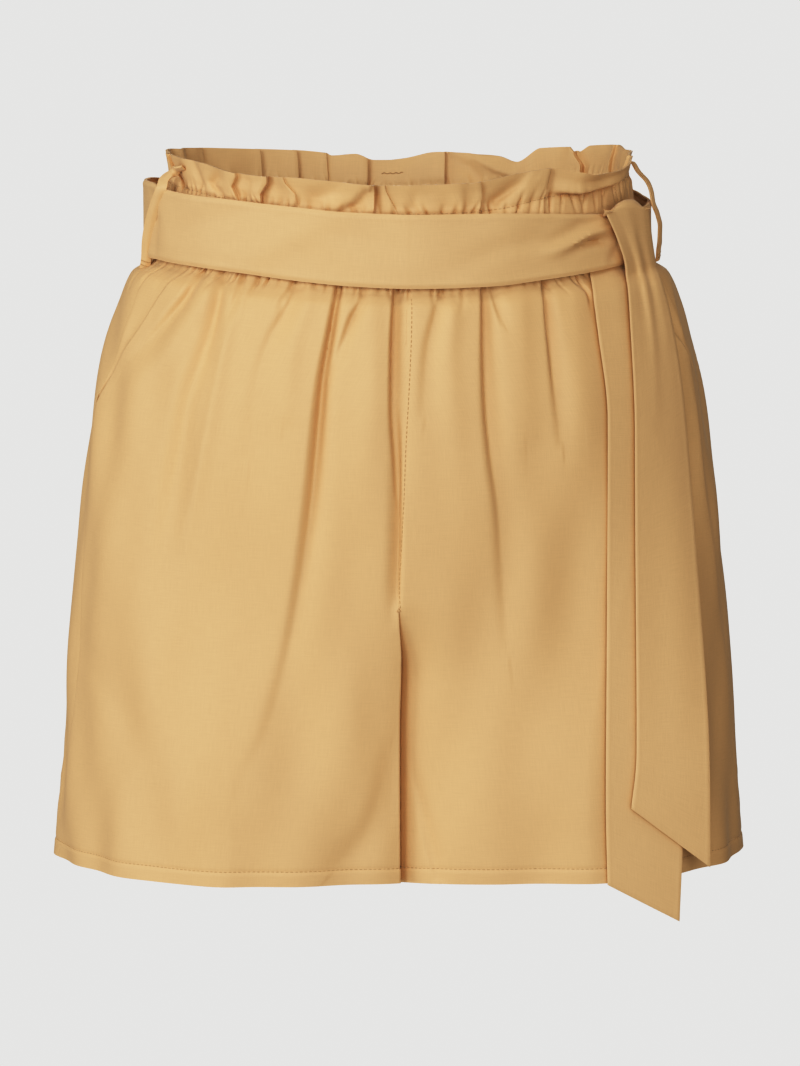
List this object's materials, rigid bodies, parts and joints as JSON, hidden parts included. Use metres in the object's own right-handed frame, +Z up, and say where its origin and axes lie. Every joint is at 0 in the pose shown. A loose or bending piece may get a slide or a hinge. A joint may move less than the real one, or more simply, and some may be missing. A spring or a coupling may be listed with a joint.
{
  "type": "belted shorts",
  "caption": "Tan high-waisted shorts in worn form, with a gathered frill waist, side pockets and a tied fabric belt whose tails hang free.",
  "frame": {"origin": "middle of the waist, at the height where the wearer's waist holds the waistband", "axes": "+Z up along the worn body, -Y to the front, +X to the wearer's left"},
  "size_m": [0.377, 0.2365, 0.4068],
  "materials": {
    "shorts_cloth": "fine plain-weave tan cloth with a soft sheen",
    "belt_cloth": "the same fine tan cloth, cut across, with a soft sheen"
  },
  "bodies": {
    "root": {"front_right": "shorts_cloth", "front_left": "shorts_cloth", "back_right": "shorts_cloth", "back_left": "shorts_cloth", "waistband_front": "shorts_cloth", "waistband_back": "shorts_cloth", "pocket_facing_right": "shorts_cloth", "pocket_facing_left": "shorts_cloth", "belt_band": "belt_cloth", "belt_tail_front": "belt_cloth", "belt_tail_back": "belt_cloth", "belt_loop_right": "belt_cloth", "belt_loop_left": "belt_cloth", "belt_loop_back": "belt_cloth"}
  },
  "joints": []
}
